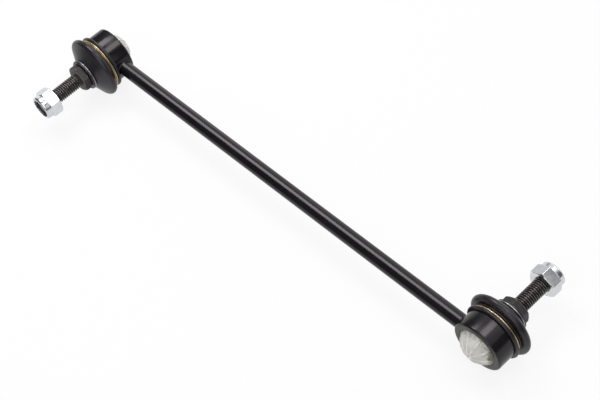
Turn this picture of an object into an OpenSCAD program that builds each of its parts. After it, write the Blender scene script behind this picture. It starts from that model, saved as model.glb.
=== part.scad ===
// Stabilizer link: a straight round bar with a ball joint at each end, whose studs point opposite ways.
// Millimetres. Origin midway between the ball centres, X along the bar, studs along Y, Z up.
// Each joint is drawn about its own ball centre with the stud along +Z, then turned and set at its end.

/* [Link bar] */
// Distance between the two ball centres
link_length = 328; // [220:1:420]
// Diameter of the bar
rod_d = 9.5; // [7:0.1:10.5]
// Radius of the flare where the bar is upset against each housing
rod_flare = 0.8; // [0.3:0.1:1.2]

/* [Ball and seat] */
// Diameter of the ball
ball_d = 22; // [20:0.1:25]
// Running clearance between the ball and its seat
ball_clearance = 0.05; // [0.02:0.01:0.1]
// Wall of the plastic seat
seat_wall = 3.05; // [2:0.05:3.6]
// Height of the seat's mouth above the ball centre
seat_mouth = 6.6; // [5.5:0.1:7.2]
// Number of ribs on the seat's domed back
dome_ribs = 10; // [6:2:16]
// Height of those ribs
dome_rib_h = 0.4; // [0.2:0.05:0.8]
// Width of those ribs
dome_rib_w = 0.9; // [0.6:0.1:1.6]
// Largest tilt of the stud each way, in degrees
tilt_limit = 25; // [15:1:28]

/* [Socket housing] */
// Wall of the housing around the seat
housing_wall = 2.65; // [1.8:0.05:4]
// Distance from the ball centre back to the rear face
housing_rear = 7; // [5:0.1:8]
// Distance from the ball centre forward to the shoulder under the boot
housing_shoulder = 5.2; // [4.8:0.1:5.8]
// Wall of the neck that carries the boot
housing_neck_wall = 1.45; // [1:0.05:1.8]
// Rounding of the rear edge
housing_edge = 1.2; // [0.4:0.1:1.6]
// Chamfer around the rear opening
rear_chamfer = 0.5; // [0.2:0.1:1]
// Thickness of the steel ring that closes the socket
closing_ring_t = 1.8; // [1.2:0.1:2.5]
// Thickness of the lip rolled over the closing ring
crimp_t = 1.2; // [0.8:0.1:2]
// How far the rolled lip reaches in over the closing ring
crimp_reach = 1.25; // [0.6:0.05:2]

/* [Dust boot] */
// Outer diameter of the bulge
boot_d = 42.4; // [41:0.2:48]
// Wall of the rubber
boot_wall = 1.7; // [1.2:0.1:2]
// Outer diameter of the bead around the housing
bead_d = 37.4; // [36.5:0.1:39.5]
// Height of the bead
bead_h = 2.2; // [1.8:0.1:2.8]
// Radius of the bulge's rounded rim
rim_edge = 2.3; // [2.1:0.1:3.2]
// Slope of the cone from the rim up to the boot's neck, in degrees
boot_cone = 27; // [20:1:34]
// Height of the boot's neck
boot_neck_h = 2.1; // [1.8:0.1:3]
// Wall of the boot's neck under its ring
boot_neck_wall = 2.3; // [1.5:0.1:2.8]

/* [Boot rings] */
// Wire of the two-turn ring around the housing
boot_ring_wire = 0.76; // [0.6:0.02:1]
// Lean of the ring's second turn in over the first, in degrees
boot_ring_lean = 27; // [20:1:70]
// Rubber between the ring and the housing
ring_seat_wall = 1; // [0.7:0.05:1.5]
// Wire of the ring around the boot's neck
neck_ring_wire = 1.1; // [0.7:0.05:1.2]

/* [Ball stud] */
// Diameter of the stud's neck above the ball
neck_d = 11.2; // [9:0.1:12.5]
// Diameter of the land that the boot's neck seals on
land_d = 14.8; // [13.5:0.1:16]
// Width across the flats of the hex collar
hex_af = 16; // [15.5:0.1:18]
// Height of the hex collar
hex_h = 4.7; // [3:0.1:7]
// Outer diameter of the thread's crests
thread_d = 9.9; // [7.8:0.1:11.8]
// Length from the collar's face to the tip
thread_length = 29.9; // [24:0.1:36]
// Length of the undercut between the collar and the thread
undercut_l = 1.2; // [0.6:0.1:2]

/* [Lock nut] */
// Width across the flats of the nut
nut_af = 17; // [16.5:0.1:19]
// Height of the nut with its rolled collar
nut_h = 11.5; // [10:0.1:13]
// Height of the nut's hex
nut_hex_h = 7.6; // [6:0.1:8]
// Clear length of stud between the collar and the nut
nut_gap = 19.9; // [14:0.1:22]

/* [Hidden] */
$fn = 96;

// Clearances between pieces
fit = 0.05;
boot_fit = 0.06;
thread_fit = 0.08;
collar_gap = 0.3;
tilt_gap = 0.35;
cut = 1;

// Ball, seat and housing, measured along the stud from the ball centre
ball_r = ball_d / 2;
seat_r = ball_r + ball_clearance + seat_wall;
socket_r = seat_r + fit;
housing_r = socket_r + housing_wall;
housing_neck_r = socket_r + housing_neck_wall;
closing_z = seat_mouth + fit;
closing_top = closing_z + closing_ring_t;
crimp_z = closing_top + fit;
rear_mouth_r = sqrt(pow(socket_r, 2) - pow(housing_rear, 2));
housing_top = crimp_z + crimp_t;
closing_ring_ir = neck_sweep(closing_top);
dome_lip = 0.6;
dome_z = -housing_rear - dome_lip;
dome_hub_r = 2;
gate_r = 0.8;
gate_depth = 0.35;

// Radius that the tilted neck sweeps at height z, with its clearance
function neck_sweep(z) = neck_d / 2 / cos(tilt_limit) + z * tan(tilt_limit) + tilt_gap;

// Dust boot, from the shoulder up
lip_r = housing_neck_r + boot_fit;
lip_z = housing_shoulder + boot_fit;
bead_top = lip_z + bead_h;
bead_cap = bead_h / 2;
groove_r = lip_r + boot_wall;
ring_seat_r = lip_r + ring_seat_wall;
boot_ring_z = bead_top + boot_ring_wire / 2 + 2 * fit;
ring_pitch_share = 0.9;
ring_step_r = boot_ring_wire * ring_pitch_share * cos(boot_ring_lean);
ring_step_z = boot_ring_wire * ring_pitch_share * sin(boot_ring_lean);
boot_ring_r = ring_seat_r + fit + boot_ring_wire / 2 + ring_step_r;
ring_seat_top = boot_ring_z + ring_step_z + boot_ring_wire / 2 + 2 * fit;
ridge_r = 0.6;
ridge_z = ring_seat_top + ridge_r;
fold_gap = 0.45;
fold_z = ridge_z + ridge_r + fold_gap;
rim_r = boot_d / 2 - rim_edge;
rim_z = fold_z + rim_edge;
neck_bore_r = land_d / 2 + boot_fit;
neck_groove_r = neck_bore_r + boot_neck_wall;
boot_neck_z = cone_top(rim_edge);
boot_top = boot_neck_z + boot_neck_h;
neck_ring_r = neck_groove_r + neck_ring_wire / 2 + fit;
neck_ring_z = boot_neck_z + neck_ring_wire / 2;
neck_lip_z = neck_ring_z + neck_ring_wire / 2 + fit;
neck_lip_r = neck_ring_r + neck_ring_wire / 4;
neck_lip_edge = 0.4;

// Where the cone of a skin leaves the rim, for a skin at distance d from the rim's centre
function cone_foot(d) = [rim_r + d * sin(boot_cone), rim_z + d * cos(boot_cone)];

// Height at which that cone reaches the boot's neck
function cone_top(d) = cone_foot(d)[1] + (cone_foot(d)[0] - neck_groove_r) * tan(boot_cone);

// Stud, from the boot's top out to the tip
land_drop = 2.8;
land_z = cone_top(rim_edge - boot_wall) - land_drop;
land_flare = 2.7;
hex_z = boot_top + collar_gap;
hex_top = hex_z + hex_h;
hex_r = hex_af / sqrt(3);
hex_turn = 30;
hex_chamfer = 0.9;
thread_r = thread_d / 2;
thread_depth = 0.95;
undercut_r = thread_r - thread_depth;
// The stretch inside the nut is drawn under the crests, so that the nut runs free
lead_drop = 0.25;
lead_r = thread_r - lead_drop;
lead_gap = 0.15;
tip_z = hex_top + thread_length;
tip_chamfer = 0.9;

// Lock nut, from its bearing face out
nut_z = hex_top + nut_gap;
nut_top = nut_z + nut_h;
nut_r = nut_af / sqrt(3);
nut_bore_r = thread_r + thread_fit;
nut_chamfer = 1.1;
nut_collar_step = 0.4;
nut_collar_r = nut_af / 2 - nut_collar_step;
nut_collar_wall = 1.15;
nut_floor = 0.9;
nut_lip_t = 0.8;
nut_lip_reach = 0.65;
nut_roll = 1.5;
insert_r = nut_collar_r - nut_collar_wall;
insert_h = nut_h - nut_hex_h - nut_lip_t - nut_floor;
insert_z = nut_top - nut_lip_t - insert_h;
nut_mouth_r = insert_r - nut_lip_reach;

// Colours as the photograph shows them
black_paint = [0.10, 0.10, 0.11];
rubber = [0.13, 0.13, 0.14];
natural_acetal = [0.86, 0.86, 0.80];
yellow_zinc = [0.78, 0.62, 0.32];
dark_phosphate = [0.20, 0.18, 0.18];
bright_zinc = [0.80, 0.81, 0.83];
plain_steel = [0.55, 0.55, 0.56];
dark_nylon = [0.14, 0.15, 0.17];

// Sets a joint at its end of the bar. The left end is the right one turned half round.
module at_end(side)
    rotate([0, 0, side == "left" ? 180 : 0])
        translate([link_length / 2, 0, 0])
            rotate([-90, 0, 0])
                children();

// A flat ring's section, from the inner to the outer radius and from z0 to z1
module band(r0, r1, z0, z1)
    translate([r0, z0])
        square([r1 - r0, z1 - z0]);

// A round section at radius r and height z
module bead(r, z, section_r)
    translate([r, z])
        circle(r = section_r);

// The upper half of a round section
module half_bead(r, z, section_r)
    intersection() {
        bead(r, z, section_r);
        band(r - cut, r + section_r + cut, z, z + section_r + cut);
    }

// A hex prism with its corners turned down at one or both ends
module hex_bar(corner_r, z0, z1, chamfer, both)
    intersection() {
        translate([0, 0, z0])
            rotate([0, 0, hex_turn])
                cylinder(r = corner_r, h = z1 - z0, $fn = 6);
        rotate_extrude()
            polygon([
                [0, z0], [corner_r - chamfer, z0], [corner_r + fit, z0 + (chamfer + fit) / sqrt(3)],
                [corner_r + fit, z1 - (both ? (chamfer + fit) / sqrt(3) : 0)],
                [corner_r - (both ? chamfer : -fit), z1], [0, z1]
            ]);
    }

// The bar's section along its axis, flared at each end towards a housing
module rod_section() {
    end_x = link_length / 2 - housing_r / 2;
    flare_x = link_length / 2 - housing_r - rod_flare;
    band(0, rod_d / 2, -end_x, end_x);
    for (turn = [0, 1])
        mirror([0, turn])
            difference() {
                band(0, rod_d / 2 + rod_flare, flare_x, end_x);
                bead(rod_d / 2 + rod_flare, flare_x, rod_flare);
            }
}

module link_rod()
    color(black_paint)
        difference() {
            rotate([0, 90, 0])
                rotate_extrude()
                    rod_section();
            for (side = ["left", "right"])
                at_end(side) {
                    translate([0, 0, -housing_r])
                        cylinder(r = housing_r, h = 2 * housing_r);
                    translate([0, 0, housing_shoulder])
                        cylinder(r = bead_d / 2 + collar_gap, h = housing_r);
                }
        }

module socket_housing(side)
    color(black_paint)
        at_end(side)
            rotate_extrude()
                difference() {
                    union() {
                        band(ball_r, housing_r, housing_edge - housing_rear, housing_shoulder);
                        band(ball_r, housing_r - housing_edge, -housing_rear, housing_shoulder);
                        bead(housing_r - housing_edge, housing_edge - housing_rear, housing_edge);
                        band(ball_r, housing_neck_r, 0, housing_top);
                    }
                    circle(r = socket_r);
                    polygon([
                        [0, -housing_rear - cut], [rear_mouth_r + rear_chamfer + cut, -housing_rear - cut],
                        [rear_mouth_r, rear_chamfer - housing_rear], [0, rear_chamfer - housing_rear]
                    ]);
                    band(0, socket_r, 0, crimp_z);
                    band(0, socket_r - crimp_reach, 0, housing_top + cut);
                }

// The shallow pockets between the ribs on the seat's domed back
module dome_pockets()
    difference() {
        rotate_extrude()
            difference() {
                band(dome_hub_r, seat_r, -seat_r - cut, dome_z);
                circle(r = seat_r - dome_rib_h);
            }
        for (k = [0 : dome_ribs / 2 - 1])
            rotate([0, 0, k * 360 / dome_ribs])
                translate([-seat_r - cut, -dome_rib_w / 2, -seat_r - 2 * cut])
                    cube([2 * seat_r + 2 * cut, dome_rib_w, seat_r + 2 * cut]);
    }

module ball_seat(side)
    color(natural_acetal)
        at_end(side)
            difference() {
                rotate_extrude()
                    difference() {
                        union() {
                            intersection() {
                                circle(r = seat_r);
                                band(0, seat_r, -seat_r, 0);
                            }
                            band(0, seat_r, 0, seat_mouth);
                        }
                        circle(r = ball_r + ball_clearance);
                        polygon([
                            [0, 0], [neck_sweep(0), 0], [neck_sweep(seat_mouth + cut), seat_mouth + cut],
                            [0, seat_mouth + cut]
                        ]);
                        translate([-cut, -seat_r - cut])
                            square([cut, 2 * seat_r + 2 * cut]);
                    }
                dome_pockets();
                translate([0, 0, -seat_r - cut])
                    cylinder(r = gate_r, h = cut + gate_depth);
            }

module closing_ring(side)
    color(plain_steel)
        at_end(side)
            rotate_extrude()
                band(closing_ring_ir, seat_r, closing_z, closing_top);

// The bulge's section within a skin at distance d from its rim's centre, in to an inner radius
module bulge_section(inner_r, d) {
    bead(rim_r, rim_z, d);
    band(inner_r, rim_r, rim_z - d, rim_z);
    polygon([
        [inner_r, rim_z], [rim_r, rim_z], cone_foot(d), [neck_groove_r, cone_top(d)], [inner_r, cone_top(d)]
    ]);
}

// The boot's outer skin, as a section
module boot_outside() {
    band(lip_r, bead_d / 2 - bead_cap, lip_z, bead_top);
    bead(bead_d / 2 - bead_cap, lip_z + bead_cap, bead_cap);
    band(lip_r, ring_seat_r, lip_z, ring_seat_top);
    band(lip_r, groove_r, ring_seat_top, rim_z);
    bead(groove_r + ridge_r / 2, ridge_z, ridge_r);
    bulge_section(neck_bore_r, rim_edge);
    band(neck_bore_r, neck_groove_r, rim_z, boot_top);
    band(neck_bore_r, neck_lip_r - neck_lip_edge, neck_lip_z, boot_top);
    band(neck_bore_r, neck_lip_r, neck_lip_z, boot_top - neck_lip_edge);
    bead(neck_lip_r - neck_lip_edge, boot_top - neck_lip_edge, neck_lip_edge);
}

// The hollow inside the boot, as a section
module boot_inside() {
    band(0, lip_r, lip_z - cut, rim_z);
    bulge_section(0, rim_edge - boot_wall);
    band(0, neck_bore_r, rim_z, boot_top + cut);
}

module dust_boot(side)
    color(rubber)
        at_end(side)
            rotate_extrude()
                difference() {
                    boot_outside();
                    boot_inside();
                }

module boot_ring(side)
    color(yellow_zinc)
        at_end(side)
            rotate_extrude()
                for (turn = [0, 1])
                    bead(boot_ring_r - turn * ring_step_r, boot_ring_z + turn * ring_step_z, boot_ring_wire / 2);

module neck_ring(side)
    color(plain_steel)
        at_end(side)
            rotate_extrude()
                bead(neck_ring_r, neck_ring_z, neck_ring_wire / 2);

module ball_stud(side)
    color(dark_phosphate)
        at_end(side) {
            sphere(r = ball_r);
            rotate_extrude()
                polygon([
                    [0, 0], [neck_d / 2, 0], [neck_d / 2, land_z - land_flare], [land_d / 2, land_z],
                    [land_d / 2, hex_z], [undercut_r, hex_z], [undercut_r, hex_top + undercut_l],
                    [thread_r, hex_top + undercut_l + thread_r - undercut_r], [thread_r, nut_z - lead_gap],
                    [lead_r, nut_z - lead_gap], [lead_r, tip_z - tip_chamfer], [lead_r - tip_chamfer, tip_z],
                    [0, tip_z]
                ]);
            hex_bar(hex_r, hex_z, hex_top, hex_chamfer, true);
        }

module lock_nut(side)
    color(bright_zinc)
        at_end(side)
            difference() {
                union() {
                    hex_bar(nut_r, nut_z, nut_z + nut_hex_h, nut_chamfer, true);
                    rotate_extrude() {
                        band(0, nut_collar_r, nut_z + nut_hex_h - cut, nut_top - nut_roll);
                        band(0, nut_collar_r - nut_roll, nut_z + nut_hex_h - cut, nut_top);
                        half_bead(nut_collar_r - nut_roll, nut_top - nut_roll, nut_roll);
                    }
                }
                translate([0, 0, nut_z - cut])
                    cylinder(r = nut_bore_r, h = nut_h + 2 * cut);
                translate([0, 0, insert_z])
                    cylinder(r = insert_r, h = insert_h);
                translate([0, 0, insert_z])
                    cylinder(r = nut_mouth_r, h = nut_h);
            }

module nut_insert(side)
    color(dark_nylon)
        at_end(side)
            rotate_extrude()
                band(nut_bore_r, insert_r - fit, insert_z + fit, insert_z + insert_h - fit);

link_rod();
for (side = ["left", "right"]) {
    socket_housing(side);
    ball_seat(side);
    closing_ring(side);
    dust_boot(side);
    boot_ring(side);
    neck_ring(side);
    ball_stud(side);
    lock_nut(side);
    nut_insert(side);
}
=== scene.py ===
"""Dresses the stabilizer link: a black bar with a ball joint, a boot, a stud and a lock nut at each end.

Each joint is drawn once in millimetres about its ball centre, with the stud along +Z, and set at both ends.
"""
import math

import bmesh
import bpy
from mathutils import Matrix, Quaternion, Vector


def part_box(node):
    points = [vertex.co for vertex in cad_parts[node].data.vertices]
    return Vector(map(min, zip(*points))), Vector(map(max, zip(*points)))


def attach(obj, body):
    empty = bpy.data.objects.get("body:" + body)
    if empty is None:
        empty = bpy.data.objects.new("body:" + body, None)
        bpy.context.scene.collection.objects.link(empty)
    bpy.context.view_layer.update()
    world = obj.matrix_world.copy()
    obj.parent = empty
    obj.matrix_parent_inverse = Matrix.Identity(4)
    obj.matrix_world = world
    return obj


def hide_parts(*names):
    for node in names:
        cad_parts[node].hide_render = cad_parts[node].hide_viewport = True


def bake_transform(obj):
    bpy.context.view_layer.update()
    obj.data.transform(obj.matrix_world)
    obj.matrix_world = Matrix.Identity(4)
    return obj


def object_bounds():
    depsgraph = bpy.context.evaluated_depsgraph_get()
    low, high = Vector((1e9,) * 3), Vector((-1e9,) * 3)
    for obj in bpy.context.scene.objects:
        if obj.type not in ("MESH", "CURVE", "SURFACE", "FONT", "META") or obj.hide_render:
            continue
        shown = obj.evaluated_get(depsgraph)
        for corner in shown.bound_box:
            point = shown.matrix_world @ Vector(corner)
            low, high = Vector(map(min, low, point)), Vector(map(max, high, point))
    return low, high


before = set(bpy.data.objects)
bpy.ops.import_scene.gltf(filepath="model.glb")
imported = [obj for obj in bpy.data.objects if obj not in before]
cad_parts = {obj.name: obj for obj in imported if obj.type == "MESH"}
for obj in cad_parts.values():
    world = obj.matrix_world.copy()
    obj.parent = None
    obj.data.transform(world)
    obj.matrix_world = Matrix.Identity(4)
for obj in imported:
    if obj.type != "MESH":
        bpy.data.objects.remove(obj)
cad_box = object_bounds()

MM = 0.001
SIDES = ("left", "right")
FULL_TURN = 2 * math.pi

# How finely the pieces are drawn
ROUND_STEPS = 144
CORNER_STEPS = 6
THREAD_STEPS = 72
THREAD_ROWS = 16
RING_STEPS = 120
WIRE_STEPS = 16
ON_AXIS = 1e-6
WELD = 0.001
THREAD_WELD = 0.004
SHARP_ANGLE = math.radians(38)
# Bends at which the edge mark starts and fills: real wear on most finishes, a painted highlight on the
# seat's acetal and partly on the thread's crests
WEAR_AND_HIGHLIGHT_FROM = math.radians(7)
WEAR_AND_HIGHLIGHT_FULL = math.radians(20)

# Bar
ROD_R = 4.75
ROD_FLARE = 0.8
ROD_BURIED = 1.2
FLARE_DEGREES = range(12, 91, 13)

# Socket housing, measured along the stud from the ball centre
HOUSING_R = 16.8
HOUSING_REAR = -7.0
HOUSING_EDGE = 1.2
HOUSING_SHOULDER = 5.2
SHOULDER_EDGE = 0.4
HOUSING_NECK_R = 15.6
HOUSING_TOP = 9.7
TOP_EDGE = 0.6
SOCKET_R = 14.15
CRIMP_Z = 8.5
CRIMP_R = 12.9
CRIMP_EDGE = 0.3
REAR_MOUTH = (12.475, -6.678)
REAR_MOUTH_EDGE = 0.5
REAR_CHAMFER_R = 12.797

# Ball seat
SEAT_R = 14.1
SEAT_BALL_R = 11.05
SEAT_BALL_DEGREES = -86
SEAT_MOUTH = (9.607, 6.6)
SEAT_EDGE = 0.3
SEAT_CONE_FOOT = (9.307, 5.955)

# Ribs and pockets of the seat's dome: each SHARE and MOST is a part of half a rib's pitch
DOME_RIBS = 10
DOME_RIB_H = 0.4
DOME_RIB_W = 0.9
DOME_HUB_R = 2.0
DOME_BASE = -7.6
DOME_STEPS = 360
POCKET_SLOPE = 0.22
RIB_SHARE = 5 / 18
RIB_MOST = 0.75
FOOT_SHARE = 8 / 18
FOOT_MOST = 0.9
# Painted highlight: the least edge mark on the tops of the ribs, which the acetal turns near white
RIB_HIGHLIGHT = 0.75
RIB_TOP_WITHIN = 0.05
DOME_WITHIN = 0.01

# Gate mark in the middle of the dome, and the soiling with painted shade on it: darker round its base by
# the housing, most towards the bar, and inside the gate
GATE_R = 0.8
GATE_DEPTH = 0.35
GATE_FLOOR = 0.5
GATE_WALL = 0.85
GATE_WALL_RISE = 0.02
GATE_DARKENED = 0.9
SOIL_AND_SHADE_Z = (-10.6, -7.4)
SOIL_AND_SHADE_ROUND = 0.35
SHADE_AND_SOIL_BY_BAR = 0.65

# Dust boot
LIP_R = 15.66
LIP_Z = 5.26
LIP_INNER_RISE = 1
BEAD_R = 18.7
BEAD_CAP = 1.1
RING_SEAT_R = 15.95
RING_SEAT_TOP = 9.2
RING_SEAT_EDGE = 0.15
GROOVE_R = 16.9
GROOVE_EDGE = 0.12
RIDGE_R = 0.36
RIDGE_AT = (17.05, 9.7)
FOLD_Z = 10.38
FOLD_EDGE = 0.2
BULGE_R = 21.2
RIM_EDGE = 2.3
BOOT_CONE = math.radians(27)
CONE_ROWS = (0.15, 0.35, 0.55, 0.75)
BOOT_WALL = 1.7
BOOT_NECK_R = 9.76
BOOT_NECK_Z = 19.92
BOOT_NECK_EDGE = 0.5
BOOT_BORE_R = 7.46
BOOT_BORE_EDGE = 0.25
BOOT_LIP_R = 10.635
BOOT_LIP_Z = 21.07
BOOT_LIP_UNDER = 0.15
BOOT_LIP_EDGE = 0.4
BOOT_TOP = 22.015

# Slack of the boot's rubber, as waves of (share, count around, start)
BOOT_SAG = 0.14
SAG_FROM = 0.5
SAG_MEAN = 0.5
SAG_WAVES = ((0.3, 3, 0.7), (0.2, 5, 2.1))

# Spring rings
BOOT_RING = {"Ring Radius": 17.25, "Wire Radius": 0.44, "Turns": 1.96, "Step": 0.46, "Inset": 0.86}
BOOT_RING_Z = 8.2
NECK_RING = {"Ring Radius": 10.36, "Wire Radius": 0.53, "Turns": 0.985, "Step": 0.0, "Inset": 0.0}
NECK_RING_Z = 20.47
STEP_OVER = (0.93, 1.03)

# Ball stud
BALL_R = 11.0
BALL_DEGREES = -87
STUD_NECK_R = 5.6
STUD_NECK_Z = 10
LAND_FOOT_Z = 12.51
LAND_FOOT_EDGE = 1.5
LAND_Z = 15.21
LAND_R = 7.4
LAND_EDGE = 1.0
COLLAR_Z = (22.32, 27.02)
COLLAR_FLAT = 8.0
COLLAR_TURNED_R = 8.34
COLLAR_RUB = 0.3
UNDERCUT_R = 4.0
UNDERCUT_END = 28.35
UNDERCUT_EDGE = 0.4

# Threads
THREAD_CREST = 4.95
THREAD_ROOT = 4.05
THREAD_PITCH = 1.5
THREAD_Z = (28.22, 56.92)
THREAD_LEAD = 0.95
THREAD_CAP_INSET = 0.5
CREST_SHARE = 1 / 16
ROOT_SHARE = 6 / 16

# Hexes of collar and nut: spots are degrees from the middle of a flat, closest at its corners
HEX_SPOTS = (
    -30, -29.2, -28.4, -27.5, -26, -23, -19, -14, -9, -4.5,
    0, 4.5, 9, 14, 19, 23, 26, 27.5, 28.4, 29.2,
)
HEX_FLATS = 6
FLAT_DEGREES = 60
HALF_FLAT = math.radians(30)
HEX_TURN = math.radians(30)
HEX_CORNER = 0.35
HEX_CHAMFER = math.radians(30)
HEX_SOFT = 0.22
HEX_RIM_IN = 0.25
HEX_RIM_RISE = 0.2
HEX_EDGE_BAND = 0.35

# Lock nut
NUT_Z = 46.92
NUT_FLAT = 8.5
NUT_TURNED_R = 8.72
NUT_HEX_END = 54.52
NUT_COLLAR_R = 8.1
NUT_ROLL = 1.5
NUT_END = 58.415
NUT_MOUTH_R = 6.3
NUT_MOUTH_EDGE = 0.14
NUT_LIP_Z = 57.62
NUT_RECESS_R = 6.95
NUT_RECESS_Z = 55.42
NUT_CREST = 5.03
NUT_ROOT = 5.7
NUT_SINK = (0.45, 0.35)
NUT_THREAD_Z = (NUT_Z + 0.3, NUT_RECESS_Z - 0.02)
NUT_THREAD_LEAD = 0.7
NUT_SLEEVE_R = 5.95
SLEEVE_RIM = 0.05
INSERT_R = 6.9
INSERT_Z = (55.47, 57.57)
INSERT_EDGE = 0.25

# How much handling roughens paint and plate, how much rolling smooths a thread, how much noise adds to the
# seat's grime and painted shade
PAINT_MARKS = 0.06
PLATE_MARKS = 0.05
ROLLED_SMOOTH = -0.24
GRIME_AND_SHADE_SHARE = 0.75

# Floor and room
WHITE = (1.0, 1.0, 1.0, 1.0)
FLOOR_HALF = 6.0
FLOOR_GAP = 0.0002
FLOOR_COLOUR = (0.86, 0.86, 0.86, 1.0)
FLOOR_GLOW = 0.86
FLOOR_MIRRORED = 0.78
FLOOR_FADE = (-0.24, -0.06)
ROOM_DIM = 0.13
ROOM_BACKDROP = 0.95
BACKDROP_START = (0.15, 0.6)
BACKDROP_LEFT = (-0.95, -0.6)
BACKDROP_RIGHT = (0.62, 0.38)

# Lights: name, place, size and power, and for a card the point that it faces
SOFTBOXES = (
    ("left_softbox", (-0.58, 0.08, 0.95), (0.5, 0.6), 5.8),
    ("right_softbox", (0.22, 0.4, 1.15), (0.5, 0.45), 3.4),
    ("strip_between", (-0.195, 0.31, 1.0), (0.29, 0.12), 0.27),
)
FRONT_FILL = ("front_fill", (0.35, -0.75, 0.75), (1.4, 1.4), 7.5)
MIDDLE = (0, 0, 0)
RIGHT_NUT = (0.2, 0.05, 0)
LEFT_NUT = (-0.164, -0.055, 0)
NUT_CARDS = (
    ("right_nut_card", (-0.25, 0.24, 0.06), (0.16, 0.12), 0.03, RIGHT_NUT),
    ("left_nut_card", (-0.31, -0.02, 0.05), (0.06, 0.12), 0.017, LEFT_NUT),
    ("far_nut_card", (0.257, 0.07, 0.255), (0.1, 0.3), 0.06, LEFT_NUT),
)

# Camera fitted to the photograph, which is 600 by 400
CAMERA_AT = Vector((0.47021, -0.30504, 0.71877))
CAMERA_AIM = Vector((0.01299, 0.00284, -0.00698))
CAMERA_ROLL = math.radians(-12.753)
CAMERA_LENS = 90.909
CAMERA_NEAR = 0.01
FILM_WIDTH = 36.0


def place_of(side):
    """Matrix that sets a joint drawn in millimetres at its end of the bar, in metres."""
    low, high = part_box(f"{side}_socket_housing")
    middle = Matrix.Translation(((low[0] + high[0]) / 2, 0, 0))
    turn = Matrix.Rotation(math.pi if side == "left" else 0, 4, "Z")
    return middle @ turn @ Matrix.Rotation(math.radians(-90), 4, "X") @ Matrix.Scale(MM, 4)


PLACES = {side: place_of(side) for side in SIDES}


# Profiles and meshes

def arc(centre, radius, start, end, steps):
    """Points of an arc in a (radius, height) section, angles in degrees from outwards."""
    points = []
    for k in range(steps + 1):
        angle = math.radians(start + (end - start) * k / steps)
        points.append((centre[0] + radius * math.cos(angle), centre[1] + radius * math.sin(angle)))
    return points


def rounded(before, corner, after, radius):
    """Points of a corner softened to a radius, between its two neighbours."""
    here = Vector(corner)
    back = (Vector(before) - here).normalized()
    on = (Vector(after) - here).normalized()
    half = back.angle(on) / 2
    centre = here + (back + on).normalized() * (radius / math.sin(half))
    first = here + back * (radius / math.tan(half)) - centre
    last = here + on * (radius / math.tan(half)) - centre
    points = []
    for k in range(CORNER_STEPS + 1):
        spoke = first.lerp(last, k / CORNER_STEPS).normalized() * radius
        points.append(tuple(centre + spoke))
    return points


def turns(steps):
    """Angles of even steps around."""
    return [FULL_TURN * k / steps for k in range(steps)]


def turned(name, profile, angles=None, closed=True, shape=None):
    """Mesh of a section turned about Z.

    An entry is (radius, height), or a function of the angle that gives them.
    """
    angles = angles or turns(ROUND_STEPS)
    bm = bmesh.new()
    uv_layer = bm.loops.layers.uv.new("around")
    rings = []
    for entry in profile:
        if not callable(entry) and entry[0] < ON_AXIS:
            rings.append([bm.verts.new((0, 0, entry[1]))])
            continue
        ring = []
        for angle in angles:
            radius, height = entry(angle) if callable(entry) else entry
            turn = angle
            if shape:
                turn, radius, height = shape(angle, radius, height)
            ring.append(bm.verts.new((radius * math.cos(turn), radius * math.sin(turn), height)))
        rings.append(ring)
    count = len(angles)
    last = len(rings) if closed else len(rings) - 1
    for i in range(last):
        lower = rings[i]
        upper = rings[(i + 1) % len(rings)]
        for k in range(count):
            corners = {}
            for ring, row in ((lower, i), (upper, i + 1)):
                for step in ((k, k + 1) if ring is lower else (k + 1, k)):
                    corners.setdefault(ring[step % len(ring)], (step / count, row / len(rings)))
            if len(corners) < 3:
                continue
            face = bm.faces.new(list(corners))
            for loop in face.loops:
                loop[uv_layer].uv = corners[loop.vert]
    return finished(name, bm)


def bridge(bm, lower, upper):
    """Faces between two rings of points."""
    for k in range(len(lower)):
        after = (k + 1) % len(lower)
        bm.faces.new((lower[k], lower[after], upper[after], upper[k]))


def smoothed(name, bm):
    """Smooth mesh with its sharp edges kept."""
    mesh = bpy.data.meshes.new(name)
    bm.to_mesh(mesh)
    bm.free()
    mesh.shade_smooth()
    mesh.set_sharp_from_angle(angle=SHARP_ANGLE)
    return mesh


def finished(name, bm):
    """Closes a mesh, turns its faces outwards, notes its outer edges for wear, which some finishes show as
    a painted highlight, and smooths it.
    """
    bmesh.ops.remove_doubles(bm, verts=bm.verts, dist=WELD)
    bmesh.ops.dissolve_degenerate(bm, edges=bm.edges, dist=WELD)
    bmesh.ops.recalc_face_normals(bm, faces=bm.faces)
    wear = bm.verts.layers.float.new("edge_wear_and_highlight")
    for edge in bm.edges:
        if len(edge.link_faces) != 2:
            continue
        bend = (edge.calc_face_angle_signed(0) - WEAR_AND_HIGHLIGHT_FROM) / (WEAR_AND_HIGHLIGHT_FULL - WEAR_AND_HIGHLIGHT_FROM)
        for vert in edge.verts:
            vert[wear] = max(vert[wear], min(bend, 1))
    return smoothed(name, bm)


def joined(name, meshes):
    """One mesh of several closed shells."""
    bm = bmesh.new()
    for mesh in meshes:
        bm.from_mesh(mesh)
    return smoothed(name, bm)


def hex_angles():
    """Angles around a hex, close together near its corners."""
    angles = []
    for flat in range(HEX_FLATS):
        for spot in HEX_SPOTS:
            angles.append(math.radians(flat * FLAT_DEGREES + spot) + HEX_TURN + HALF_FLAT)
    return angles


def hex_radius(angle, flat):
    """Radius of a hex with slightly rounded corners at an angle, from its half width across flats."""
    away = (angle - HEX_TURN) % math.radians(FLAT_DEGREES) - HALF_FLAT
    inner = flat - HEX_CORNER
    if flat * math.tan(abs(away)) <= inner * math.tan(HALF_FLAT):
        return flat / math.cos(away)
    reach = inner / math.cos(HALF_FLAT)
    swing = HALF_FLAT - abs(away)
    return reach * math.cos(swing) + math.sqrt(HEX_CORNER ** 2 - (reach * math.sin(swing)) ** 2)


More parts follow.
